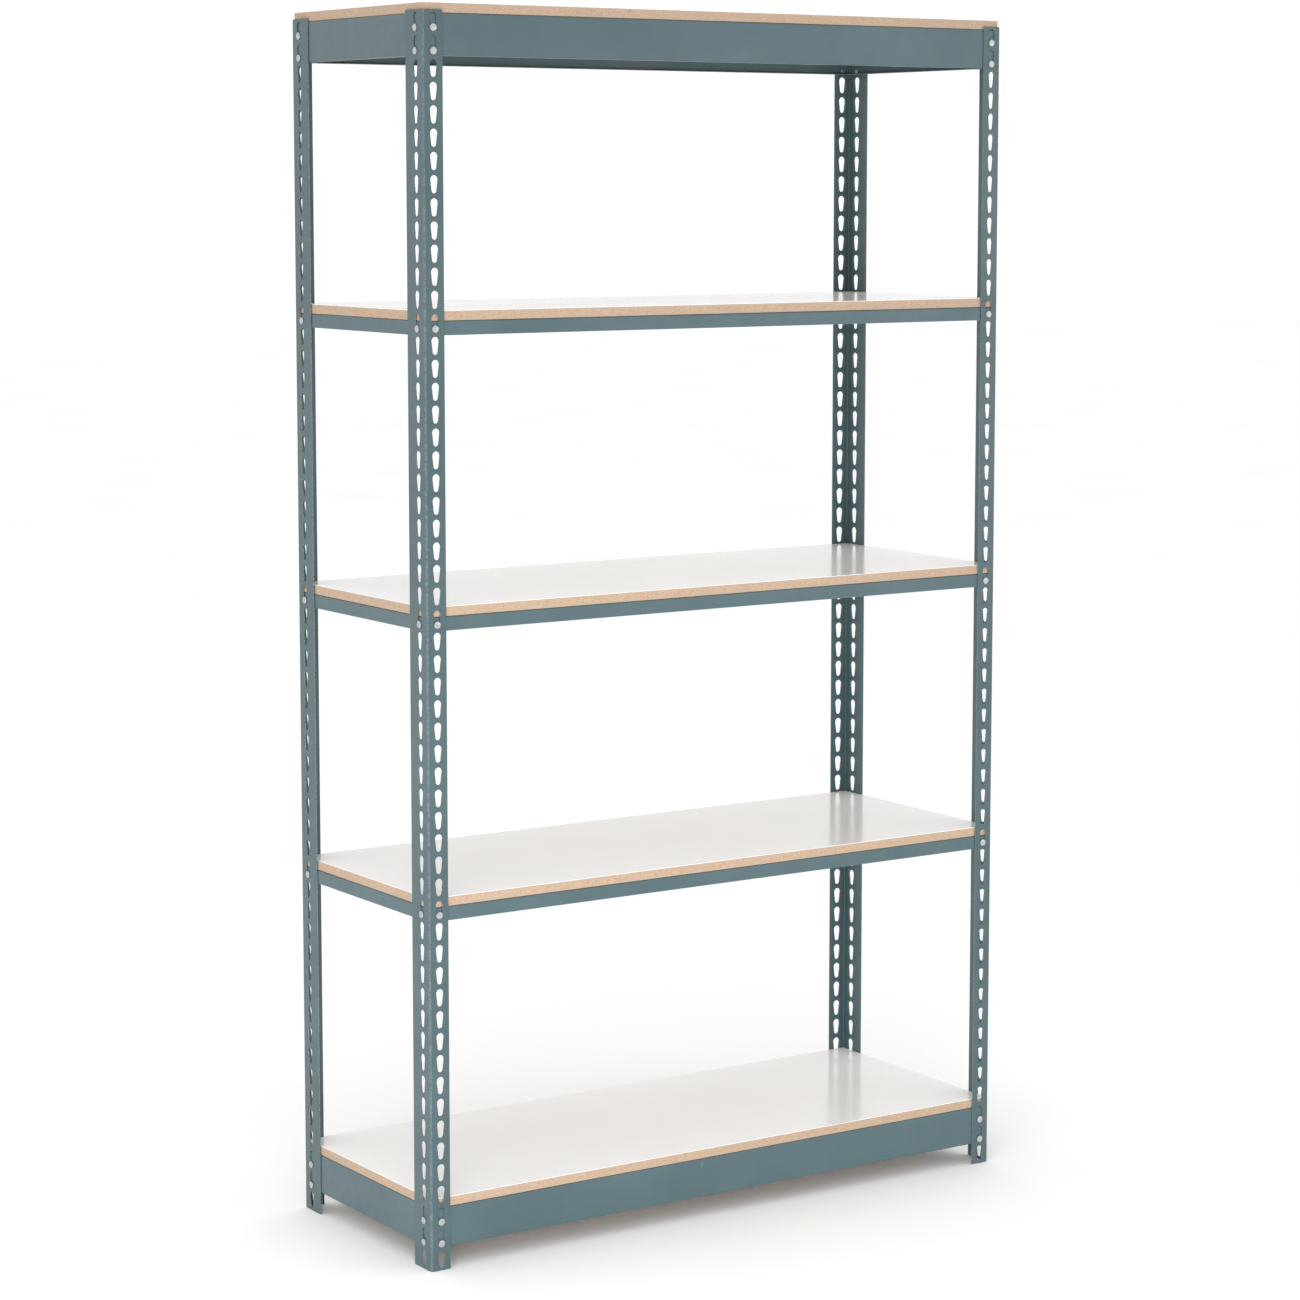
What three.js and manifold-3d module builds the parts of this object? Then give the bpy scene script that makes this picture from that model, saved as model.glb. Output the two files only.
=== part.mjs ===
// Boltless steel shelving: four slotted angle posts, five levels of riveted beams and five laminated decks.
// Millimetres, +Z up. X runs along the width (+X is the right side seen from the front), Y runs from the
// front (-Y) to the rear (+Y). The origin is on the floor, under the middle of the unit.
import * as THREE from 'three';
import { mergeVertices } from 'three/addons/utils/BufferGeometryUtils.js';
import Module from 'manifold-3d';

const wasm = await Module();
wasm.setup();

// ---- Driving dimensions ----
const WIDTH = 1219.2; // 48 in, over the outer faces of the posts
const DEPTH = 457.2; // 18 in, over the outer faces of the posts
const SLOT_PITCH = 38.1; // the beams can move up or down in steps of 1 1/2 in
const SLOTS_PER_FLANGE = 56;
const CLEARANCE = 0.3; // between pieces that touch

// Posts: unequal steel angles, slotted on both flanges
const POST_HEIGHT = SLOT_PITCH * SLOTS_PER_FLANGE; // 84 in
const POST_STEEL = 1.9;
const POST_BEND_RADIUS = 4.0; // outside of the bend
const WIDTH_FLANGE = 38.1; // the flange that faces the front or the rear
const DEPTH_FLANGE = 57.15; // the flange that faces the side
const WIDTH_FLANGE_SLOT_LINE = 20.4; // from the corner of the post
const DEPTH_FLANGE_SLOT_LINE = 24.5; // from the corner of the post

// Keyhole slots: wide at the top so that a rivet head passes, narrow at the bottom where its shank locks
const SLOT_HEIGHT = 30.0;
const SLOT_TOP_WIDTH = 14.0;
const SLOT_FOOT_WIDTH = 9.2;
const SLOT_CROWN_WIDTH = 7.6;
const SLOT_SHOULDER = 23.0; // height of the widest place above the slot's foot
const SHANK_SEAT = 4.8; // height of a seated shank's centre above the slot's foot
const WEB_BETWEEN_SLOTS = SLOT_PITCH - SLOT_HEIGHT;

// Beams: the top and bottom levels are deep channels, the middle levels are low angles
const BEAM_STEEL = 1.5;
const BEAM_BEND_RADIUS = 2.5;
const BEAM_SHELF = 25.0; // width of the flange that carries the deck
const DEEP_BEAM = { height: 70.0, lip: 12.0, rivetDrops: [24.0, 24.0 + SLOT_PITCH] };
const LOW_BEAM = { height: 24.0, lip: 0, rivetDrops: [13.0] };
const BEAM_END_INSET = 8.0; // from the outer face of the post to the end of the beam
const NOTCH_MARGIN = 1.5; // room between the shelf flanges of two beams that meet at a corner

// Rivets: staked into the beams, with round heads outside the posts
const SHANK_RADIUS = 3.9;
const HEAD_RADIUS = 6.3;
const HEAD_CROWN_RADIUS = 4.6;
const HEAD_THICKNESS = 2.2;
const TAIL_RADIUS = 5.0;
const TAIL_THICKNESS = 1.0;
const RIVET_SIDES = 8;

// Decks: particle board with a white laminate top
const BOARD_THICKNESS = 15.9;
const LAMINATE_THICKNESS = 0.8;
const DECK_INSET = 3.5; // from the outer face of a post to the edge of the deck

// The five levels, bottom to top: the slot that the upper rivet of each beam sits in, and the beam's section
const LEVELS = [
  { slot: 2, beam: DEEP_BEAM },
  { slot: 16, beam: LOW_BEAM },
  { slot: 29, beam: LOW_BEAM },
  { slot: 42, beam: LOW_BEAM },
  { slot: 55, beam: DEEP_BEAM },
];

// ---- Materials ----
function paintedSteel() {
  return new THREE.MeshStandardMaterial({ color: 0x66797c, roughness: 0.45, metalness: 0.35 });
}

function particleBoard() {
  return new THREE.MeshStandardMaterial({ color: 0xcdac84, roughness: 0.8, metalness: 0 });
}

function whiteLaminate() {
  return new THREE.MeshStandardMaterial({ color: 0xf4f2ee, roughness: 0.3, metalness: 0 });
}

// ---- Between three.js geometry and solids that can be cut and joined ----
function solidFrom(geometry) {
  const bare = geometry.index ? geometry.toNonIndexed() : geometry.clone();
  bare.deleteAttribute('normal');
  bare.deleteAttribute('uv');
  const merged = mergeVertices(bare, 1e-4);
  return new wasm.Manifold(new wasm.Mesh({
    numProp: 3,
    vertProperties: new Float32Array(merged.attributes.position.array),
    triVerts: new Uint32Array(merged.index.array),
  }));
}

function geometryFrom(solid) {
  const mesh = solid.getMesh();
  const geometry = new THREE.BufferGeometry();
  geometry.setAttribute('position', new THREE.BufferAttribute(new Float32Array(mesh.vertProperties), 3));
  geometry.setIndex(new THREE.BufferAttribute(new Uint32Array(mesh.triVerts), 1));
  geometry.computeVertexNormals();
  return geometry;
}

function extrude(outline, length) {
  const shape = new THREE.Shape(outline.map(([x, y]) => new THREE.Vector2(x, y)));
  return new THREE.ExtrudeGeometry(shape, { depth: length, bevelEnabled: false });
}

// Points on the quarter of a bend, from one angle to another, about a centre
function bendArc(centreX, centreY, radius, fromAngle, toAngle) {
  const steps = 3;
  return Array.from({ length: steps + 1 }, (_, i) => {
    const angle = fromAngle + ((toAngle - fromAngle) * i) / steps;
    return [centreX + radius * Math.cos(angle), centreY + radius * Math.sin(angle)];
  });
}

// ---- Posts ----
// Height of a seated rivet in a slot, counted from the floor
function seatHeight(slot) {
  return slot * SLOT_PITCH + WEB_BETWEEN_SLOTS / 2 + SHANK_SEAT;
}

// The angle's section, with its corner at the origin and its flanges along +X and +Y
function postOutline() {
  const inner = POST_BEND_RADIUS - POST_STEEL;
  return [
    ...bendArc(POST_BEND_RADIUS, POST_BEND_RADIUS, POST_BEND_RADIUS, Math.PI, 1.5 * Math.PI),
    [WIDTH_FLANGE, 0],
    [WIDTH_FLANGE, POST_STEEL],
    ...bendArc(POST_BEND_RADIUS, POST_BEND_RADIUS, inner, 1.5 * Math.PI, Math.PI),
    [POST_STEEL, DEPTH_FLANGE],
    [0, DEPTH_FLANGE],
  ];
}

// A keyhole's outline about its seated shank: x across the flange, y up
function slotOutline() {
  const foot = -SHANK_SEAT;
  const crown = foot + SLOT_HEIGHT;
  const shoulder = foot + SLOT_SHOULDER;
  return [
    [-SLOT_FOOT_WIDTH / 2, foot],
    [SLOT_FOOT_WIDTH / 2, foot],
    [SLOT_TOP_WIDTH / 2, shoulder],
    [SLOT_CROWN_WIDTH / 2, crown],
    [-SLOT_CROWN_WIDTH / 2, crown],
    [-SLOT_TOP_WIDTH / 2, shoulder],
  ];
}

// All the keyholes of one flange, as solids to cut away. They pass through the plane y = 0.
function slotCutters() {
  const reach = 4 * POST_STEEL;
  const cutter = extrude(slotOutline(), reach).translate(0, 0, -reach / 2).rotateX(Math.PI / 2);
  const one = solidFrom(cutter);
  let all = one.translate(0, 0, seatHeight(0));
  for (let slot = 1; slot < SLOTS_PER_FLANGE; slot += 1) {
    all = all.add(one.translate(0, 0, seatHeight(slot)));
  }
  return all;
}

const FLANGE_SLOTS = slotCutters();

// A post stands at the corner (sideX, sideY) of the unit, with its flanges running towards the middle
function post(name, sideX, sideY) {
  const cornerX = (sideX * WIDTH) / 2;
  const cornerY = (sideY * DEPTH) / 2;
  const outline = postOutline().map(([x, y]) => [cornerX - sideX * x, cornerY - sideY * y]);
  const slotLineX = cornerX - sideX * WIDTH_FLANGE_SLOT_LINE;
  const slotLineY = cornerY - sideY * DEPTH_FLANGE_SLOT_LINE;
  const body = solidFrom(extrude(outline, POST_HEIGHT))
    .subtract(FLANGE_SLOTS.translate(slotLineX, cornerY, 0))
    .subtract(FLANGE_SLOTS.rotate(0, 0, 90).translate(cornerX, slotLineY, 0));
  const mesh = new THREE.Mesh(geometryFrom(body), paintedSteel());
  mesh.name = name;
  return mesh;
}

// ---- Beams ----
// A beam's section: x runs inwards from its outer face, y runs up, with the deck's seat at y = 0
function beamOutline({ height, lip }) {
  const outer = BEAM_BEND_RADIUS;
  const inner = BEAM_BEND_RADIUS - BEAM_STEEL;
  const topBend = bendArc(outer, -outer, outer, 0.5 * Math.PI, Math.PI);
  const topFold = bendArc(outer, -outer, inner, Math.PI, 0.5 * Math.PI);
  const topEdge = [[BEAM_SHELF, -BEAM_STEEL], [BEAM_SHELF, 0]];
  if (lip === 0) {
    return [...topBend, [0, -height], [BEAM_STEEL, -height], ...topFold, ...topEdge];
  }
  const lipY = -height + outer;
  const lipBend = bendArc(outer, lipY, outer, Math.PI, 1.5 * Math.PI);
  const lipFold = bendArc(outer, lipY, inner, 1.5 * Math.PI, Math.PI);
  const lipEdge = [[lip, -height], [lip, -height + BEAM_STEEL]];
  return [...topBend, ...lipBend, ...lipEdge, ...lipFold, ...topFold, ...topEdge];
}

// A rivet whose axis is +Y, with the outer face of its beam at y = 0 and its head on the -Y side
function rivet() {
  const seat = CLEARANCE + POST_STEEL + CLEARANCE;
  const profile = [
    [0, -seat - HEAD_THICKNESS],
    [HEAD_CROWN_RADIUS, -seat - HEAD_THICKNESS],
    [HEAD_RADIUS, -seat],
    [SHANK_RADIUS, -seat],
    [SHANK_RADIUS, BEAM_STEEL / 2],
    [TAIL_RADIUS, BEAM_STEEL / 2],
    [TAIL_RADIUS, BEAM_STEEL + TAIL_THICKNESS],
    [0, BEAM_STEEL + TAIL_THICKNESS],
  ];
  return new THREE.LatheGeometry(profile.map(([r, y]) => new THREE.Vector2(r, y)), RIVET_SIDES);
}

// A beam of a level in its own frame: its length along X, its outer face at y = 0 and its deck seat at z = 0.
// notch is the length at each end over which only the web is left, so that it clears the beam across it.
function beam(name, section, length, rivetSpan, notch) {
  const profile = extrude(beamOutline(section), length).translate(0, 0, -length / 2);
  const alongX = new THREE.Matrix4().makeBasis(
    new THREE.Vector3(0, 1, 0),
    new THREE.Vector3(0, 0, 1),
    new THREE.Vector3(1, 0, 0),
  );
  let body = solidFrom(profile.applyMatrix4(alongX));
  for (const end of [-1, 1]) {
    if (notch > 0) {
      const web = BEAM_BEND_RADIUS;
      const block = new THREE.BoxGeometry(2 * notch, 2 * BEAM_SHELF, 4 * section.height);
      body = body.subtract(solidFrom(block.translate((end * length) / 2, BEAM_SHELF + web, 0)));
    }
    for (const drop of section.rivetDrops) {
      body = body.add(solidFrom(rivet().translate((end * rivetSpan) / 2, 0, -drop)));
    }
  }
  const mesh = new THREE.Mesh(geometryFrom(body), paintedSteel());
  mesh.name = name;
  return mesh;
}

// The four beams of a level. Each is made facing the front and turned about Z to its side.
function levelBeams(number, section, seat) {
  const frontLength = WIDTH - 2 * BEAM_END_INSET;
  const sideLength = DEPTH - 2 * BEAM_END_INSET;
  const frontRivets = WIDTH - 2 * WIDTH_FLANGE_SLOT_LINE;
  const sideRivets = DEPTH - 2 * DEPTH_FLANGE_SLOT_LINE;
  const postSkin = POST_STEEL + CLEARANCE;
  const sideNotch = postSkin + BEAM_SHELF + NOTCH_MARGIN - BEAM_END_INSET;
  const sides = [
    { side: 'front', turn: 0, reach: DEPTH / 2, length: frontLength, rivets: frontRivets, notch: 0 },
    { side: 'rear', turn: Math.PI, reach: DEPTH / 2, length: frontLength, rivets: frontRivets, notch: 0 },
    { side: 'left', turn: -Math.PI / 2, reach: WIDTH / 2, length: sideLength, rivets: sideRivets, notch: sideNotch },
    { side: 'right', turn: Math.PI / 2, reach: WIDTH / 2, length: sideLength, rivets: sideRivets, notch: sideNotch },
  ];
  return sides.map(({ side, turn, reach, length, rivets, notch }) => {
    const mesh = beam(`beam_${side}_${number}`, section, length, rivets, notch);
    mesh.position.set(0, -reach + postSkin, seat);
    const turned = new THREE.Group();
    turned.rotation.z = turn;
    turned.add(mesh);
    return turned;
  });
}

// ---- Decks ----
function slab(name, bottom, thickness, material) {
  const geometry = new THREE.BoxGeometry(WIDTH - 2 * DECK_INSET, DEPTH - 2 * DECK_INSET, thickness);
  const mesh = new THREE.Mesh(geometry, material);
  mesh.name = name;
  mesh.position.z = bottom + thickness / 2;
  return mesh;
}

function deck(number, seat) {
  const boardBottom = seat + CLEARANCE;
  const laminateBottom = boardBottom + BOARD_THICKNESS + CLEARANCE;
  return [
    slab(`deck_board_${number}`, boardBottom, BOARD_THICKNESS, particleBoard()),
    slab(`deck_laminate_${number}`, laminateBottom, LAMINATE_THICKNESS, whiteLaminate()),
  ];
}

// ---- The shelving unit ----
const shelving = new THREE.Group();
shelving.add(
  post('post_front_left', -1, -1),
  post('post_front_right', 1, -1),
  post('post_rear_left', -1, 1),
  post('post_rear_right', 1, 1),
);
LEVELS.forEach(({ slot, beam: section }, index) => {
  const seat = seatHeight(slot) + section.rivetDrops[0];
  shelving.add(...levelBeams(index + 1, section, seat), ...deck(index + 1, seat));
});

export default shelving;
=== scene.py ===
import math

import bmesh
import bpy
from mathutils import Matrix, Vector, noise


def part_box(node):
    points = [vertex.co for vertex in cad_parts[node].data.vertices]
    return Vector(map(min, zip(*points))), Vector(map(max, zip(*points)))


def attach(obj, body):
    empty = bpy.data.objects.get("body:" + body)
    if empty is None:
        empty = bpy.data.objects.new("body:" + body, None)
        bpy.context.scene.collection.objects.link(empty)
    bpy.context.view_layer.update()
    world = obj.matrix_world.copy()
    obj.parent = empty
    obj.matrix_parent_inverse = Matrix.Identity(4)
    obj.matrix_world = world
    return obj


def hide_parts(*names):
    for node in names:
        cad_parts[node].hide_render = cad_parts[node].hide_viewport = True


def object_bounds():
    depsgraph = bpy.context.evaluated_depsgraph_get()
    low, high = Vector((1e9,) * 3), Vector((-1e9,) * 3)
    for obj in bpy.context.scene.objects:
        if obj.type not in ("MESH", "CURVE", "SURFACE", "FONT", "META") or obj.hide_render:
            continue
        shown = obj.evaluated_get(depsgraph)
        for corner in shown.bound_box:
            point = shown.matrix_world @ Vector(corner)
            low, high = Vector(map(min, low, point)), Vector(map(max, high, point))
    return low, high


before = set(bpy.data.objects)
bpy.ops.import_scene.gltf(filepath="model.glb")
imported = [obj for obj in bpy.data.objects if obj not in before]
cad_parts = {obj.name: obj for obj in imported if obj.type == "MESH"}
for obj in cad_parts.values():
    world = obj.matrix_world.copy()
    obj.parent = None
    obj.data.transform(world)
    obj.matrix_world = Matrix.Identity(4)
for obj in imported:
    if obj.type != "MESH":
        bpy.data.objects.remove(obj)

cad_low, cad_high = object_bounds()

MM = 0.001
WELD = 0.004 * MM  # corners nearer than this are one vertex
LEVELS = range(1, 6)
CLEARANCE = 0.3 * MM  # between pieces that touch

# ---- Posts, as the frame has them ----
post_low, post_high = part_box("post_front_left")
HALF_WIDTH = -post_low.x
HALF_DEPTH = -post_low.y
POST_HEIGHT = post_high.z - post_low.z
WIDTH_FLANGE = post_high.x - post_low.x
DEPTH_FLANGE = post_high.y - post_low.y
WIDTH_FLANGE_SLOT_LINE = 20.4 * MM  # from the post's corner to the middle of the slots
DEPTH_FLANGE_SLOT_LINE = 24.5 * MM
SLOTS_PER_FLANGE = 56
SLOT_PITCH = POST_HEIGHT / SLOTS_PER_FLANGE
POST_STEEL = 1.9 * MM
POST_BEND_RADIUS = 4.0 * MM
BEND_WEAR_AND_HIGHLIGHT = 0.5  # how thin the enamel is on the outside of the bend, where 1 is a worn edge; this paler enamel is partly rubbed paint and partly a painted highlight along the bend
POST_EDGE = 0.3 * MM  # the soft edge that the enamel leaves on punched and sheared steel

# ---- Keyhole slots: a small round foot and a large round crown joined by straight sides ----
SLOT_HEIGHT = 30.0 * MM
SLOT_FOOT_RADIUS = 4.8 * MM
SLOT_CROWN_RADIUS = 7.0 * MM
FOOT_STEPS = 4  # on each half of the foot
SIDE_STEPS = 3
CROWN_STEPS = 10
ROWS_PER_SLOT = 4  # rows of faces up the plain steel beside each slot
BEND_STEPS = 6

# ---- Beams ----
BEAM_STEEL = 1.5 * MM
BEAM_BEND_RADIUS = 2.5 * MM
BEAM_SHELF = 25.0 * MM
BEAM_LIP = 12.0 * MM
BEAM_TIP_STEPS = 4
NOTCH_MARGIN = 1.5 * MM
DEEP_LEVELS = (1, 5)
DEEP_RIVET_DROPS = (24.0 * MM, 24.0 * MM + SLOT_PITCH)
LOW_RIVET_DROPS = (13.0 * MM,)
POST_SKIN = POST_STEEL + CLEARANCE  # from the post's outer face to the beam's outer face

# ---- Rivets ----
RIVET_SIDES = 28
HEAD_RADIUS = 6.3 * MM
HEAD_THICKNESS = 2.2 * MM
HEAD_RIM = 0.7 * MM
DOME_STEPS = 6
SHANK_RADIUS = 3.9 * MM
TAIL_RADIUS = 5.0 * MM
TAIL_THICKNESS = 1.0 * MM
RIVET_EASE = 0.25 * MM  # on the edges of the head and the tail
DIMPLE_DEPTH = 0.35 * MM  # that the staking tool leaves in the tail
DIMPLE_RIM = 0.72 * TAIL_RADIUS
DIMPLE_LIP = 0.5 * TAIL_RADIUS
DIMPLE_FLOOR = 0.3 * TAIL_RADIUS
DIMPLE_CENTRE_DEPTH = 1.3 * DIMPLE_DEPTH

# ---- Decks ----
SAWN_STEP = 3.0 * MM  # between the columns of faces along a sawn edge
SAWN_ROWS = 7
SAWN_DEPTH = 0.35 * MM  # how deep the saw and lost chips bite into an edge
FACE_COARSENESS = 0.3  # of an edge beside the faces of the board, where its core is 1
SAWN_GRAIN = 1 / (7.0 * MM)
SAWN_SQUASH = 3  # the chips lie flat, so pits are this much longer than they are tall
FINE_PIT_SHARE = 0.4
FINE_PIT_GRAIN = 3.1  # times the grain of the coarse pits
BOARD_EASE = 1.2 * MM
BOARD_TOP_EASE = 0.1 * MM
BOARD_TOP_ROW = 0.2 * MM  # the plain row of faces under the laminate
GLUE_LINE = 0.02 * MM  # between a board and its laminate
LAMINATE_EASE = 0.25 * MM
LAMINATE_UNDERCUT = 0.05 * MM
LAMINATE_STEP = 60.0 * MM  # between the columns of faces along its edge
ROUNDING = 0.3  # of an ease, at the point that rounds it
FACING_DOWN = -0.9  # a face whose normal's Z is below this is on the underside

# ---- Studio ----
FLOOR_REACH = 30.0
WORLD_STRENGTH = 1.05
CAMERA_PLACE = (-3.4669, -5.205, 1.85)
CAMERA_YAW = math.radians(33.594)  # to the right of straight ahead
CAMERA_PITCH = math.radians(6.548)  # below level
CAMERA_LENS = 95.59  # mm
CAMERA_SENSOR = 36.0  # mm
CAMERA_SHIFT = -0.0545
CAMERA_REACH = 100.0


# ---- Mesh helpers ----
class Surface:
    """Faces gathered by the places of their corners. Corners at one place share one vertex.

    Each corner is (point, wear), and the materials read the wear: 1 is the thin enamel of an edge of
    steel, or the coarse core of a sawn edge of board, and 0 is a plain face. On the outside of a post's
    bend the paler enamel that the wear gives is partly rubbed paint and partly a painted highlight.
    """

    def __init__(self):
        self.known = {}
        self.points = []
        self.wear = []
        self.faces = []

    def vertex(self, point, wear):
        key = tuple(round(value / WELD) for value in point)
        if key not in self.known:
            self.known[key] = len(self.points)
            self.points.append(tuple(point))
            self.wear.append(wear)
        return self.known[key]

    def face(self, corners):
        """Adds a face from its corners. One that has closed up to a line is left out."""
        indices = []
        for point, wear in corners:
            index = self.vertex(point, wear)
            if index not in indices:
                indices.append(index)
        if len(indices) > 2:
            self.faces.append(indices)

    def strip(self, first, second, closed):
        """Quads between two rows of corners that match one to one."""
        count = len(first) if closed else len(first) - 1
        for i in range(count):
            j = (i + 1) % len(first)
            self.face([first[i], first[j], second[j], second[i]])

    def placed(self, place):
        """The same surface with place(point) applied to each of its points."""
        copy = Surface()
        copy.points = [tuple(place(point)) for point in self.points]
        copy.wear = self.wear
        copy.faces = self.faces
        return copy


def make_piece(name, surface, materials, sharp_degrees=38.0):
    """A mesh object from a surface, with outward normals and edges that are sharp past an angle."""
    mesh = bpy.data.meshes.new(name)
    mesh.from_pydata(surface.points, [], surface.faces)
    wear = mesh.attributes.new("wear", "FLOAT", "POINT")
    wear.data.foreach_set("value", surface.wear)
    piece = bpy.data.objects.new(name, mesh)
    bpy.context.scene.collection.objects.link(piece)
    face_outwards(mesh)
    mesh.shade_smooth()
    mesh.set_sharp_from_angle(angle=math.radians(sharp_degrees))
    for material in materials:
        mesh.materials.append(material)
    # Large faces keep their own normals, so that only the small faces of a bend shade round.
    flat_faces = piece.modifiers.new("flat_faces", "WEIGHTED_NORMAL")
    flat_faces.keep_sharp = True
    return piece


def face_outwards(mesh):
    shape = bmesh.new()
    shape.from_mesh(mesh)
    bmesh.ops.recalc_face_normals(shape, faces=shape.faces)
    shape.to_mesh(mesh)
    shape.free()


def arc(across, up, radius, start, end, steps):
    """Points on an arc, its ends included."""
    points = []
    for i in range(steps + 1):
        angle = start + (end - start) * i / steps
        points.append((across + radius * math.cos(angle), up + radius * math.sin(angle)))
    return points


def between(start, end, steps):
    """The points that part a line into equal steps, its ends left out."""
    points = []
    for i in range(1, steps):
        share = i / steps
        points.append(tuple(a + (b - a) * share for a, b in zip(start, end)))
    return points


# ---- Posts ----
def keyhole(grow):
    """A keyhole about the middle of its foot: (across, up) points, from there round by the right."""
    foot_centre = SLOT_FOOT_RADIUS
    crown_centre = SLOT_HEIGHT - SLOT_CROWN_RADIUS
    lean = math.asin((SLOT_CROWN_RADIUS - SLOT_FOOT_RADIUS) / (crown_centre - foot_centre))
    foot = arc(0, foot_centre, SLOT_FOOT_RADIUS + grow, -math.pi / 2, -lean, FOOT_STEPS)
    crown = arc(0, crown_centre, SLOT_CROWN_RADIUS + grow, -lean, math.pi + lean, CROWN_STEPS)
    side = between(foot[-1], crown[0], SIDE_STEPS)
    mirrored_side = [(-across, up) for across, up in reversed(side)]
    mirrored_foot = [(-across, up) for across, up in reversed(foot[1:])]
    return foot + side + crown + mirrored_side + mirrored_foot


def flange_cell(left, right):
    """The rectangle of plain steel round one keyhole, with one point for each of the keyhole's."""
    bottom = -(SLOT_PITCH - SLOT_HEIGHT) / 2
    top = bottom + SLOT_PITCH
    corners = [(0, bottom), (right, bottom), (right, top), (0, top), (left, top), (left, bottom)]
    half_top = CROWN_STEPS // 2 - 1
    steps = [FOOT_STEPS, ROWS_PER_SLOT, half_top, half_top, ROWS_PER_SLOT, FOOT_STEPS]
    points = []
    for i, corner in enumerate(corners):
        points.append(corner)
        points.extend(between(corner, corners[(i + 1) % len(corners)], steps[i]))
    return points


def add_flange(surface, slot_line, edge, place):
    """One slotted flange. place(along, depth, up) puts a point of it in the post's own frame."""
    cell = flange_cell(POST_BEND_RADIUS - slot_line, edge - POST_EDGE - slot_line)
    wide_hole = keyhole(POST_EDGE)
    hole = keyhole(0)
    rings = [
        (cell, 0, 0),
        (wide_hole, 0, 0),
        (hole, POST_EDGE, 1),
        (hole, POST_STEEL - POST_EDGE, 1),
        (wide_hole, POST_STEEL, 0),
        (cell, POST_STEEL, 0),
    ]
    for slot in range(SLOTS_PER_FLANGE):
        foot = (slot + 0.5) * SLOT_PITCH - SLOT_HEIGHT / 2
        rows = []
        for outline, depth, wear in rings:
            rows.append([(place(slot_line + across, depth, foot + up), wear) for across, up in outline])
        for first, second in zip(rows, rows[1:]):
            surface.strip(first, second, closed=True)


def flange_edge(edge):
    """The free edge of a flange, as (along, depth, wear)."""
    return [
        (edge - POST_EDGE, 0, 0),
        (edge, POST_EDGE, 1),
        (edge, POST_STEEL - POST_EDGE, 1),
        (edge - POST_EDGE, POST_STEEL, 0),
    ]


def add_lengthwise(surface, section):
    """Carries an open run of (x, y, wear) up the whole post, in the rows that the flanges have."""
    row_count = SLOTS_PER_FLANGE * ROWS_PER_SLOT
    rows = []
    for row in range(row_count + 1):
        up = POST_HEIGHT * row / row_count
        rows.append([((x, y, up), wear) for x, y, wear in section])
    for first, second in zip(rows, rows[1:]):
        surface.strip(first, second, closed=False)


def bend_run(radius, wear):
    """The bend between the flanges at one radius, from the side flange to the width flange."""
    corner = POST_BEND_RADIUS
    points = arc(corner, corner, radius, math.pi, 1.5 * math.pi, BEND_STEPS)
    last = len(points) - 1
    return [(x, y, wear if 0 < i < last else 0) for i, (x, y) in enumerate(points)]


def add_post_ends(surface):
    """Closes the sheared ends of the post with strips across the steel."""
    inner_radius = POST_BEND_RADIUS - POST_STEEL
    bend = list(zip(bend_run(POST_BEND_RADIUS, 0), bend_run(inner_radius, 0)))
    for up in (0, POST_HEIGHT):
        for outer, inner in zip(bend, bend[1:]):
            corners = [outer[0], inner[0], inner[1], outer[1]]
            surface.face([((x, y, up), 1) for x, y, _ in corners])
        for slot_line, edge, place in post_flanges():
            start = (POST_BEND_RADIUS, 0)
            middle = (slot_line, 0)
            stop = (edge - POST_EDGE, 0)
            stations = [start, *between(start, middle, FOOT_STEPS), middle]
            stations += [*between(middle, stop, FOOT_STEPS), stop]
            for (a, _), (b, _) in zip(stations, stations[1:]):
                corners = [(a, 0), (b, 0), (b, POST_STEEL), (a, POST_STEEL)]
                surface.face([(place(along, depth, up), 1) for along, depth in corners])
            surface.face([(place(along, depth, up), 1) for along, depth, _ in flange_edge(edge)])


def along_width(along, depth, up):
    return (along, depth, up)


def along_depth(along, depth, up):
    return (depth, along, up)


def post_flanges():
    """(slot line, free edge, place) of both flanges of a post."""
    return [
        (WIDTH_FLANGE_SLOT_LINE, WIDTH_FLANGE, along_width),
        (DEPTH_FLANGE_SLOT_LINE, DEPTH_FLANGE, along_depth),
    ]


def post_surface():
    """A post with its corner at the origin and its flanges along +X and +Y."""
    surface = Surface()
    for slot_line, edge, place in post_flanges():
        add_flange(surface, slot_line, edge, place)
        run = []
        for along, depth, wear in flange_edge(edge):
            x, y, _ = place(along, depth, 0)
            run.append((x, y, wear))
        add_lengthwise(surface, run)
    # The outer bend's paler enamel is partly rubbed paint and partly a painted highlight along the corner.
    add_lengthwise(surface, bend_run(POST_BEND_RADIUS, BEND_WEAR_AND_HIGHLIGHT))
    add_lengthwise(surface, bend_run(POST_BEND_RADIUS - POST_STEEL, 0))
    add_post_ends(surface)
    return surface


def corner_place(side_x, side_y):
    """Moves a post from its own frame to a corner of the unit, mirrored so that it opens inwards."""
    return lambda point: (side_x * (HALF_WIDTH - point[0]), side_y * (HALF_DEPTH - point[1]), point[2])


def make_posts(enamel):
    corner_post = post_surface()
    for depth_name, side_y in (("front", -1), ("rear", 1)):
        for width_name, side_x in (("left", -1), ("right", 1)):
            corner = f"{depth_name}_{width_name}"
            surface = corner_post.placed(corner_place(side_x, side_y))
            post = make_piece(f"slotted_post_{corner}", surface, [enamel])
            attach(post, "frame")
            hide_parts(f"post_{corner}")


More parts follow.
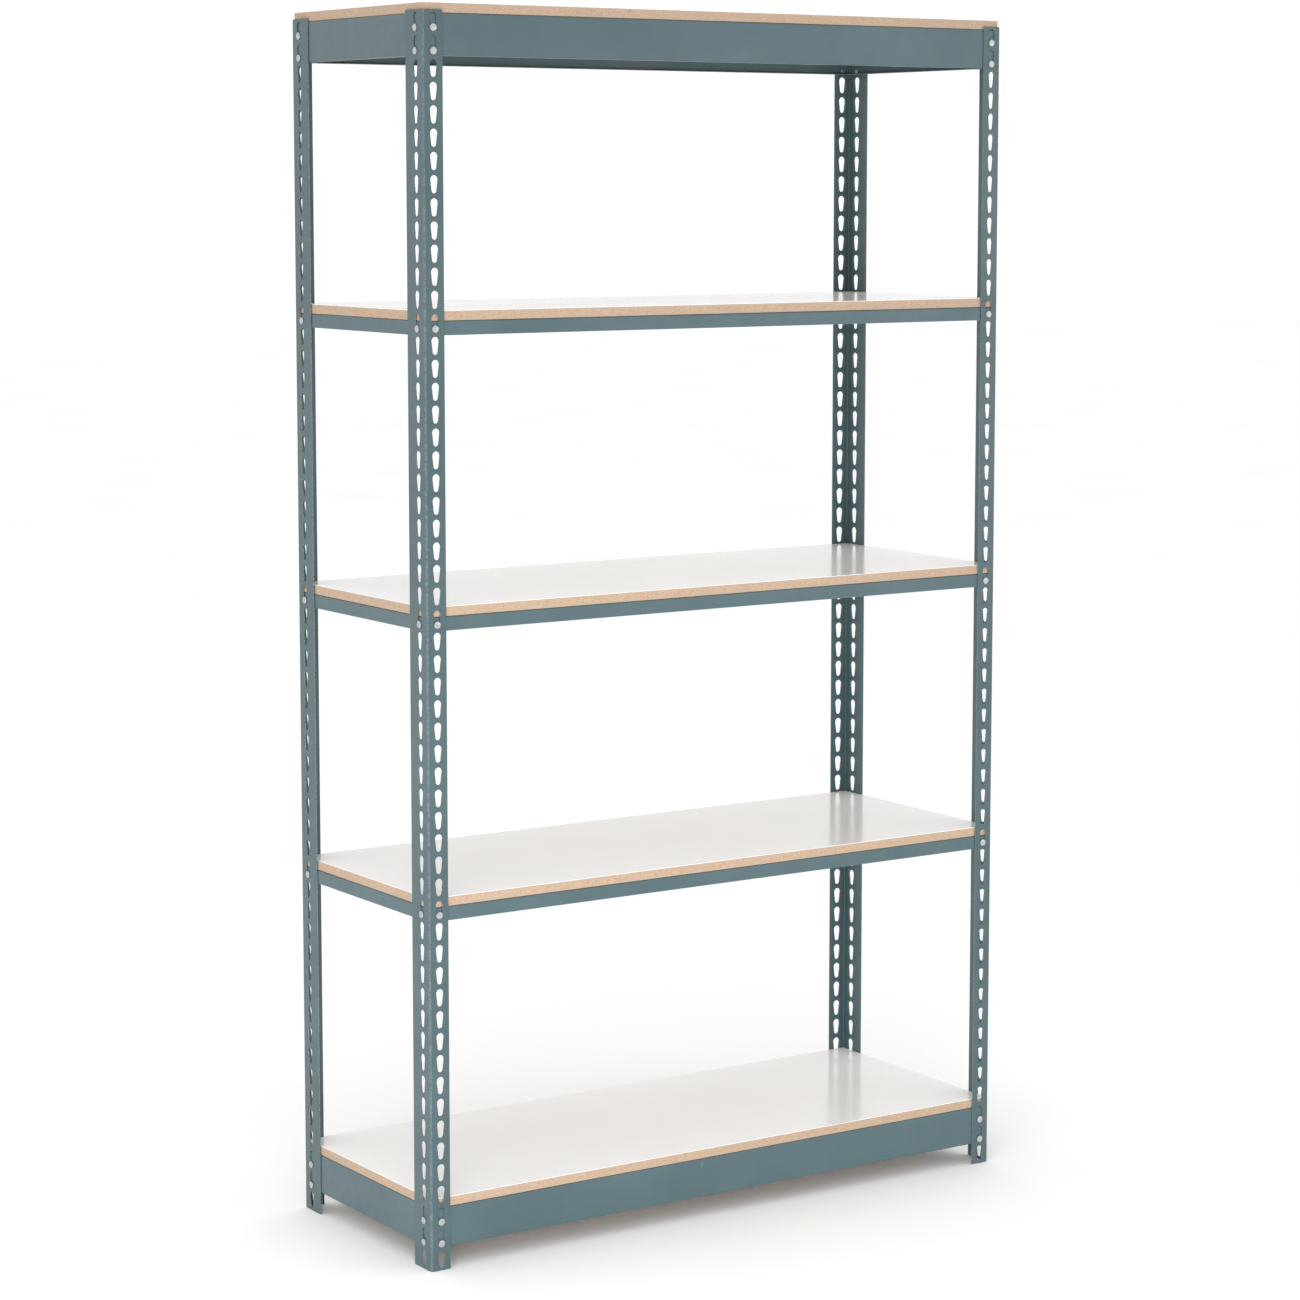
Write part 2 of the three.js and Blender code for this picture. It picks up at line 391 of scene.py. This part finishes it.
# ---- Beams ----
def beam_section(height, has_lip):
    """Two chains of (inward, up) along a beam's bent sheet, outer and inner, tip to tip."""
    bend = BEAM_BEND_RADIUS
    fold = BEAM_BEND_RADIUS - BEAM_STEEL
    tip = BEAM_STEEL / 2
    outer = [(BEAM_SHELF - tip, 0)]
    inner = [(BEAM_SHELF - tip, -BEAM_STEEL)]
    outer += arc(bend, -bend, bend, 0.5 * math.pi, math.pi, BEND_STEPS)
    inner += arc(bend, -bend, fold, 0.5 * math.pi, math.pi, BEND_STEPS)
    if has_lip:
        lip_centre = bend - height
        outer += arc(bend, lip_centre, bend, math.pi, 1.5 * math.pi, BEND_STEPS)
        inner += arc(bend, lip_centre, fold, math.pi, 1.5 * math.pi, BEND_STEPS)
        outer.append((BEAM_LIP - tip, -height))
        inner.append((BEAM_LIP - tip, BEAM_STEEL - height))
    else:
        outer.append((0, tip - height))
        inner.append((BEAM_STEEL, tip - height))
    return outer, inner


def beam_tips(height, has_lip):
    """The rounded sheet edges that join the chains: at the far end of the section, and at the shelf."""
    tip = BEAM_STEEL / 2
    shelf = arc(BEAM_SHELF - tip, -tip, tip, -0.5 * math.pi, 0.5 * math.pi, BEAM_TIP_STEPS)
    if has_lip:
        far = arc(BEAM_LIP - tip, tip - height, tip, -0.5 * math.pi, 0.5 * math.pi, BEAM_TIP_STEPS)
    else:
        far = arc(tip, tip - height, tip, math.pi, 2 * math.pi, BEAM_TIP_STEPS)
    return far[1:-1], shelf[1:-1]


def beam_surface(length, height, has_lip, notch):
    """A beam in its own frame: length along X, outer face at y = 0, seat of the deck at z = 0."""
    outer, inner = beam_section(height, has_lip)
    far_tip, shelf_tip = beam_tips(height, has_lip)
    ring = [(point, 0.0) for point in outer]
    ring += [(point, 1.0) for point in far_tip]
    ring += [(point, 0.0) for point in reversed(inner)]
    ring += [(point, 1.0) for point in shelf_tip]

    def station(along, reach):
        return [((along, min(inward, reach), up), wear) for (inward, up), wear in ring]

    full, cut = BEAM_SHELF, BEAM_BEND_RADIUS
    half = length / 2
    stations = [station(-half, full), station(half, full)]
    if notch > 0:
        stations = [
            station(-half, cut),
            station(notch - half, cut),
            station(notch - half, full),
            station(half - notch, full),
            station(half - notch, cut),
            station(half, cut),
        ]
    surface = Surface()
    for first, second in zip(stations, stations[1:]):
        surface.strip(first, second, closed=True)
    for end in (stations[0], stations[-1]):
        close_beam_end(surface, end, len(outer), len(far_tip))
    return surface


def close_beam_end(surface, ring, chain_length, far_tip_length):
    """Strips across the sheet at one end of a beam, and the two rounded tips."""
    inner_start = chain_length + far_tip_length
    outer = ring[:chain_length]
    inner = list(reversed(ring[inner_start:inner_start + chain_length]))
    surface.strip(outer, inner, closed=False)
    surface.face(ring[chain_length - 1:inner_start + 1])
    surface.face(ring[inner_start + chain_length - 1:] + ring[:1])


def beam_sides(level):
    """(side name, turn about Z, reach, length, rivet span, notch) of a level's four beams."""
    front_low, front_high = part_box(f"beam_front_{level}")
    left_low, left_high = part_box(f"beam_left_{level}")
    front_length = front_high.x - front_low.x
    side_length = left_high.y - left_low.y
    end_inset = HALF_DEPTH - side_length / 2
    notch = POST_SKIN + BEAM_SHELF + NOTCH_MARGIN - end_inset
    front_span = 2 * (HALF_WIDTH - WIDTH_FLANGE_SLOT_LINE)
    side_span = 2 * (HALF_DEPTH - DEPTH_FLANGE_SLOT_LINE)
    return [
        ("front", 0, HALF_DEPTH, front_length, front_span, 0),
        ("rear", math.pi, HALF_DEPTH, front_length, front_span, 0),
        ("left", -math.pi / 2, HALF_WIDTH, side_length, side_span, notch),
        ("right", math.pi / 2, HALF_WIDTH, side_length, side_span, notch),
    ]


def make_beams(enamel, zinc):
    rivet = rivet_surface()
    for level in LEVELS:
        front_low, front_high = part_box(f"beam_front_{level}")
        height = front_high.z - front_low.z
        is_deep = level in DEEP_LEVELS
        drops = DEEP_RIVET_DROPS if is_deep else LOW_RIVET_DROPS
        for side, turn, reach, length, span, notch in beam_sides(level):
            seat = Matrix.Translation((0, POST_SKIN - reach, front_high.z))
            place = Matrix.Rotation(turn, 4, "Z") @ seat
            surface = beam_surface(length, height, is_deep, notch)
            name = f"{side}_{level}"
            beam = make_piece(f"formed_beam_{name}", surface.placed(mover(place)), [enamel])
            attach(beam, "frame")
            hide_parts(f"beam_{name}")
            make_rivets(name, rivet, place, span, drops, zinc)


def mover(matrix):
    return lambda point: matrix @ Vector(point)


# ---- Rivets ----
def rivet_profile():
    """(radius, inward) from the top of the head to the middle of the staked tail."""
    seat = -(POST_SKIN + CLEARANCE)
    crown = seat - HEAD_THICKNESS
    rim = seat - HEAD_RIM
    profile = []
    for i in range(DOME_STEPS + 1):
        angle = 0.5 * math.pi * i / DOME_STEPS
        profile.append((HEAD_RADIUS * math.sin(angle), rim + (crown - rim) * math.cos(angle)))
    tail = BEAM_STEEL + TAIL_THICKNESS
    profile += [
        (HEAD_RADIUS, seat - RIVET_EASE),
        (HEAD_RADIUS - RIVET_EASE, seat),
        (SHANK_RADIUS, seat),
        (SHANK_RADIUS, BEAM_STEEL / 2),
        (TAIL_RADIUS, BEAM_STEEL / 2),
        (TAIL_RADIUS, tail - 2 * RIVET_EASE),
        (TAIL_RADIUS - RIVET_EASE, tail - RIVET_EASE),
        (DIMPLE_RIM, tail),
        (DIMPLE_LIP, tail),
        (DIMPLE_FLOOR, tail - DIMPLE_DEPTH),
        (0, tail - DIMPLE_CENTRE_DEPTH),
    ]
    return profile


def rivet_surface():
    """A rivet with its axis along Y, with the beam's outer face at y = 0 and its head towards -Y."""
    rows = []
    for radius, inward in rivet_profile():
        row = []
        for i in range(RIVET_SIDES):
            angle = 2 * math.pi * i / RIVET_SIDES
            row.append(((radius * math.cos(angle), inward, radius * math.sin(angle)), 0.0))
        rows.append(row)
    surface = Surface()
    for first, second in zip(rows, rows[1:]):
        surface.strip(first, second, closed=True)
    return surface


def make_rivets(beam_name, rivet, place, span, drops, zinc):
    for end_name, end in (("a", -1), ("b", 1)):
        for row, drop in enumerate(drops, start=1):
            spot = place @ Matrix.Translation((end * span / 2, 0, -drop))
            piece = make_piece(f"rivet_{beam_name}_{end_name}_{row}", rivet.placed(mover(spot)), [zinc])
            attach(piece, "frame")


# ---- Decks ----
def perimeter(low, high, step):
    """(x, y, outward x, outward y) round a rectangle, from its front left corner."""
    corners = [(low.x, low.y), (high.x, low.y), (high.x, high.y), (low.x, high.y)]
    outward = [(0, -1), (1, 0), (0, 1), (-1, 0)]
    places = []
    for i, corner in enumerate(corners):
        following = corners[(i + 1) % 4]
        before = outward[i - 1]
        here = outward[i]
        places.append((*corner, before[0] + here[0], before[1] + here[1]))
        run = math.dist(corner, following)
        for x, y in between(corner, following, max(1, round(run / step))):
            places.append((x, y, *here))
    return places


def slab_surface(low, high, rows, step, bite):
    """A slab. rows are (height, inset, coarseness) up its edge, and the coarsest pits are bite deep."""
    places = perimeter(low, high, step)
    rings = []
    for height, inset, coarse in rows:
        ring = []
        for x, y, out_x, out_y in places:
            spot = Vector((x, y, low.z + SAWN_SQUASH * height)) * SAWN_GRAIN
            fine_pit = FINE_PIT_SHARE * abs(noise.noise(spot * FINE_PIT_GRAIN))
            pit = min(1, abs(noise.noise(spot)) + fine_pit)
            depth = inset + bite * coarse * pit
            ring.append(((x - out_x * depth, y - out_y * depth, low.z + height), coarse))
        rings.append(ring)
    surface = Surface()
    for first, second in zip(rings, rings[1:]):
        surface.strip(first, second, closed=True)
    surface.face(rings[0])
    surface.face(rings[-1])
    return surface


def board_rows(thickness):
    """A sawn edge, coarsest in the core. Its lower arris is eased, and the laminate keeps the upper one."""
    rounding = ROUNDING * BOARD_EASE
    rows = [(0, BOARD_EASE, 0), (rounding, rounding, 0)]
    for i in range(SAWN_ROWS + 1):
        share = i / SAWN_ROWS
        height = BOARD_EASE + (thickness - BOARD_EASE - BOARD_TOP_ROW) * share
        rows.append((height, 0, FACE_COARSENESS + (1 - FACE_COARSENESS) * math.sin(math.pi * share)))
    rows.append((thickness, BOARD_TOP_EASE, 0))
    return rows


def laminate_rows(thickness):
    rounding = ROUNDING * LAMINATE_EASE
    return [
        (0, LAMINATE_UNDERCUT, 0),
        (thickness - LAMINATE_EASE, 0, 0),
        (thickness - rounding, rounding, 0),
        (thickness, LAMINATE_EASE, 0),
    ]


def make_decks(particle, backer, laminate):
    for level in LEVELS:
        body = f"deck_{level}"
        board_low, board_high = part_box(f"deck_board_{level}")
        skin_low, skin_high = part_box(f"deck_laminate_{level}")
        thickness = skin_low.z - board_low.z - GLUE_LINE  # the board reaches up to its laminate
        surface = slab_surface(board_low, board_high, board_rows(thickness), SAWN_STEP, SAWN_DEPTH)
        board = make_piece(f"particle_board_{level}", surface, [particle, backer])
        for polygon in board.data.polygons:
            if polygon.normal.z < FACING_DOWN:
                polygon.material_index = 1
        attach(board, body)
        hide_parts(f"deck_board_{level}")
        skin_rows = laminate_rows(skin_high.z - skin_low.z)
        surface = slab_surface(skin_low, skin_high, skin_rows, LAMINATE_STEP, 0)
        skin = make_piece(f"laminate_skin_{level}", surface, [laminate])
        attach(skin, body)
        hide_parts(f"deck_laminate_{level}")


# ---- Materials ----
class Look:
    """A material with a Principled shader, and short ways to add the nodes that feed it."""

    def __init__(self, name):
        self.material = bpy.data.materials.new(name)
        self.material.use_nodes = True
        self.nodes = self.material.node_tree.nodes
        self.links = self.material.node_tree.links
        self.shader = self.nodes["Principled BSDF"]
        self.place = self.nodes.new("ShaderNodeTexCoord").outputs["Object"]

    def set(self, **values):
        """Sets plain values on the shader's own sockets."""
        for name, value in values.items():
            self.shader.inputs[name.replace("_", " ")].default_value = value

    def feed(self, socket, output):
        self.links.new(output, self.shader.inputs[socket])

    def stretched(self, scale):
        node = self.nodes.new("ShaderNodeMapping")
        node.inputs["Scale"].default_value = scale
        self.links.new(self.place, node.inputs["Vector"])
        return node.outputs["Vector"]

    def noise(self, scale, detail=3.0, roughness=0.55, vector=None):
        node = self.nodes.new("ShaderNodeTexNoise")
        node.inputs["Scale"].default_value = scale
        node.inputs["Detail"].default_value = detail
        node.inputs["Roughness"].default_value = roughness
        self.links.new(vector or self.place, node.inputs["Vector"])
        return node.outputs["Fac"]

    def cells(self, scale, output, vector=None):
        node = self.nodes.new("ShaderNodeTexVoronoi")
        node.inputs["Scale"].default_value = scale
        self.links.new(vector or self.place, node.inputs["Vector"])
        return node.outputs[output]

    def ramp(self, factor, stops):
        """Colours along a factor, from (position, colour) stops."""
        node = self.nodes.new("ShaderNodeValToRGB")
        elements = node.color_ramp.elements
        while len(elements) < len(stops):
            elements.new(0.5)
        for element, (position, colour) in zip(elements, stops):
            element.position = position
            element.color = (*colour, 1)
        self.links.new(factor, node.inputs["Fac"])
        return node.outputs["Color"]

    def remap(self, factor, low, high, to_low, to_high):
        """Carries a factor from low..high to to_low..to_high, and holds it there."""
        node = self.nodes.new("ShaderNodeMapRange")
        node.inputs["From Min"].default_value = low
        node.inputs["From Max"].default_value = high
        node.inputs["To Min"].default_value = to_low
        node.inputs["To Max"].default_value = to_high
        self.links.new(factor, node.inputs["Value"])
        return node.outputs["Result"]

    def mix(self, factor, first, second):
        """Mixes two colours, each an output or a plain colour."""
        node = self.nodes.new("ShaderNodeMix")
        node.data_type = "RGBA"
        self.links.new(factor, node.inputs["Factor"])
        for name, value in (("A", first), ("B", second)):
            socket = [s for s in node.inputs if s.name == name and s.type == "RGBA"][0]
            if isinstance(value, tuple):
                socket.default_value = (*value, 1)
            else:
                self.links.new(value, socket)
        return [s for s in node.outputs if s.type == "RGBA"][0]

    def times(self, first, second):
        node = self.nodes.new("ShaderNodeMath")
        node.operation = "MULTIPLY"
        self.links.new(first, node.inputs[0])
        self.links.new(second, node.inputs[1])
        return node.outputs["Value"]

    def attribute(self, name):
        node = self.nodes.new("ShaderNodeAttribute")
        node.attribute_name = name
        return node.outputs["Fac"]

    def bump(self, height, strength, distance, under=None):
        node = self.nodes.new("ShaderNodeBump")
        node.inputs["Strength"].default_value = strength
        node.inputs["Distance"].default_value = distance
        self.links.new(height, node.inputs["Height"])
        if under:
            self.links.new(under, node.inputs["Normal"])
        return node.outputs["Normal"]


def enamel_look(name, dark, pale):
    """Baked blue-grey enamel: cloudy tone, orange peel, scuffs, and thin paint on its edges. On the outside
    of a post's bend the paler paint is partly a painted highlight.
    """
    look = Look(name)
    # Paler enamel: thin paint on sheared and punched edges, and on the post's bend partly a painted
    # highlight.
    thin_paint_and_highlight = (0.24, 0.31, 0.33)
    scuffed = (0.19, 0.25, 0.265)
    cloud = look.noise(7.0, detail=4)
    tone = look.ramp(cloud, [(0.32, dark), (0.68, pale)])
    scratch_field = look.noise(38.0, detail=6, roughness=0.7, vector=look.stretched((1, 1, 0.35)))
    scratches = look.remap(scratch_field, 0.69, 0.76, 0, 0.35)
    tone = look.mix(scratches, tone, scuffed)
    edge = look.remap(look.noise(210.0, detail=4), 0.40, 0.66, 0.10, 0.75)
    # Mixes in the paler enamel where the wear is high. On the post's bend this is partly a painted
    # highlight.
    tone = look.mix(look.times(look.attribute("wear"), edge), tone, thin_paint_and_highlight)
    look.feed("Base Color", tone)
    look.feed("Roughness", look.remap(look.noise(55.0), 0.3, 0.7, 0.34, 0.46))
    peel = look.bump(look.noise(420.0, detail=2), 0.14, 0.25 * MM)
    look.feed("Normal", look.bump(look.noise(26.0, detail=1), 0.08, 0.5 * MM, under=peel))
    look.set(Metallic=0.0, IOR=1.5, Coat_Weight=0.15, Coat_Roughness=0.22)
    return look.material


def zinc_look():
    """Zinc plating on the rivets, slightly clouded, with the marks of the staking tool."""
    look = Look("bright_zinc")
    tone = look.ramp(look.noise(260.0, detail=5), [(0.3, (0.40, 0.42, 0.42)), (0.7, (0.62, 0.64, 0.63))])
    look.feed("Base Color", tone)
    look.feed("Roughness", look.remap(look.noise(500.0), 0.3, 0.7, 0.26, 0.46))
    look.feed("Normal", look.bump(look.noise(900.0, detail=3), 0.2, 0.1 * MM))
    look.set(Metallic=0.9)
    return look.material


def particle_look():
    """The raw sawn edge of particle board: flat chips in its core, and fine dust towards its faces."""
    look = Look("particle_board_edge")
    flat_chips = look.stretched((1, 1, 2.6))
    chips = look.ramp(look.cells(430.0, "Color", vector=flat_chips), [
        (0.12, (0.310, 0.205, 0.134)),
        (0.38, (0.405, 0.292, 0.205)),
        (0.66, (0.472, 0.350, 0.257)),
        (0.92, (0.550, 0.430, 0.330)),
    ])
    dust = look.ramp(look.noise(1300.0, detail=4, vector=flat_chips), [
        (0.30, (0.386, 0.276, 0.194)),
        (0.68, (0.482, 0.364, 0.271)),
    ])
    patches = look.remap(look.noise(160.0, detail=3), 0.35, 0.65, 0.35, 1.0)
    core = look.times(look.attribute("wear"), patches)
    look.feed("Base Color", look.mix(core, dust, chips))
    look.feed("Roughness", look.remap(look.noise(300.0), 0.3, 0.7, 0.70, 0.92))
    grain = look.bump(look.cells(430.0, "Distance", vector=flat_chips), 0.35, 0.25 * MM)
    look.feed("Normal", look.bump(look.noise(1300.0, detail=4), 0.4, 0.2 * MM, under=grain))
    look.set(Specular_IOR_Level=0.25)
    return look.material


def backer_look():
    """The sanded underside of the board: fine chips under a thin film of glue."""
    look = Look("board_underside")
    chips = look.cells(420.0, "Color")
    tone = look.ramp(chips, [(0.15, (0.42, 0.30, 0.19)), (0.85, (0.66, 0.52, 0.37))])
    haze = look.remap(look.noise(9.0, detail=3), 0.35, 0.65, 0.35, 0.6)
    look.feed("Base Color", look.mix(haze, tone, (0.56, 0.43, 0.30)))
    look.feed("Roughness", look.remap(look.noise(120.0), 0.3, 0.7, 0.55, 0.75))
    look.feed("Normal", look.bump(look.noise(700.0, detail=3), 0.3, 0.15 * MM))
    return look.material


def laminate_look():
    """White melamine: a faint warm cloud, a fine pebble, and wiped patches that change its gloss."""
    look = Look("white_melamine")
    cloud = look.noise(3.0, detail=3)
    tone = look.ramp(cloud, [(0.3, (0.800, 0.793, 0.783)), (0.7, (0.822, 0.817, 0.810))])
    look.feed("Base Color", tone)
    wiped = look.noise(5.0, detail=2, roughness=0.5, vector=look.stretched((0.6, 1, 1)))
    look.feed("Roughness", look.remap(wiped, 0.3, 0.7, 0.13, 0.19))
    look.feed("Normal", look.bump(look.noise(300.0, detail=1), 0.03, 0.1 * MM))
    look.set(IOR=1.48, Specular_IOR_Level=0.35)
    return look.material


def floor_look():
    """Pale matt paper, a little uneven."""
    look = Look("studio_floor")
    tone = look.ramp(look.noise(1.3), [(0.3, (0.94, 0.94, 0.94)), (0.7, (0.96, 0.96, 0.96))])
    look.feed("Base Color", tone)
    look.feed("Roughness", look.remap(look.noise(4.0), 0.3, 0.7, 0.8, 0.9))
    look.set(Specular_IOR_Level=0.2)
    return look.material


# ---- Stage, light and camera ----
def make_floor():
    surface = Surface()
    corners = [(-1, -1), (1, -1), (1, 1), (-1, 1)]
    surface.face([((x * FLOOR_REACH, y * FLOOR_REACH, cad_low.z), 0.0) for x, y in corners])
    floor = make_piece("studio_floor", surface, [floor_look()])


def aim(thing, target):
    direction = Vector(target) - thing.location
    thing.rotation_euler = direction.to_track_quat("-Z", "Y").to_euler()


def softbox(name, location, target, size, watts, spread=180.0, mirrored=True):
    """A square light that points at a target. Glossy surfaces show it only where it is mirrored."""
    lamp = bpy.data.lights.new(name, "AREA")
    lamp.shape = "RECTANGLE"
    lamp.size, lamp.size_y = size
    lamp.energy = watts
    lamp.spread = math.radians(spread)
    thing = bpy.data.objects.new(name, lamp)
    thing.location = location
    thing.visible_glossy = mirrored
    aim(thing, target)
    bpy.context.scene.collection.objects.link(thing)


def light_studio():
    """A white room with three soft lights in front, of which the glossy decks mirror only the fill."""
    world = bpy.data.worlds.new("studio")
    world.use_nodes = True
    background = world.node_tree.nodes["Background"]
    background.inputs["Color"].default_value = (1, 1, 1, 1)
    background.inputs["Strength"].default_value = WORLD_STRENGTH
    bpy.context.scene.world = world
    middle = (0, 0, POST_HEIGHT / 2)
    foot = (0, 0, 0.1 * POST_HEIGHT)
    softbox("key", (-3.6, -3.4, 2.2), middle, size=(2.6, 2.6), watts=34, mirrored=False)
    softbox("low_strip", (-3.0, -3.8, 0.8), foot, size=(3.0, 1.2), watts=26, spread=70.0, mirrored=False)
    softbox("fill", (3.4, -4.0, 1.6), middle, size=(1.6, 1.6), watts=12)
    bpy.context.scene.view_settings.view_transform = "Standard"


def make_camera():
    camera = bpy.data.cameras.new("photo_view")
    camera.sensor_width = CAMERA_SENSOR
    camera.lens = CAMERA_LENS
    camera.shift_y = CAMERA_SHIFT
    camera.clip_end = CAMERA_REACH
    thing = bpy.data.objects.new("photo_view", camera)
    thing.location = CAMERA_PLACE
    level = math.cos(CAMERA_PITCH)
    forward = (math.sin(CAMERA_YAW) * level, math.cos(CAMERA_YAW) * level, -math.sin(CAMERA_PITCH))
    aim(thing, thing.location + Vector(forward))
    bpy.context.scene.collection.objects.link(thing)
    bpy.context.scene.camera = thing


# ---- The shelving unit ----
make_camera()
light_studio()
make_floor()
# The posts take the beams' enamel about 12% darker. It is one paint, so this darker copy is painted shade
# that makes the posts read darker than the beams.
make_posts(enamel_look("post_enamel", (0.045, 0.082, 0.091), (0.058, 0.100, 0.110)))
make_beams(enamel_look("beam_enamel", (0.052, 0.096, 0.108), (0.064, 0.111, 0.125)), zinc_look())
make_decks(particle_look(), backer_look(), laminate_look())
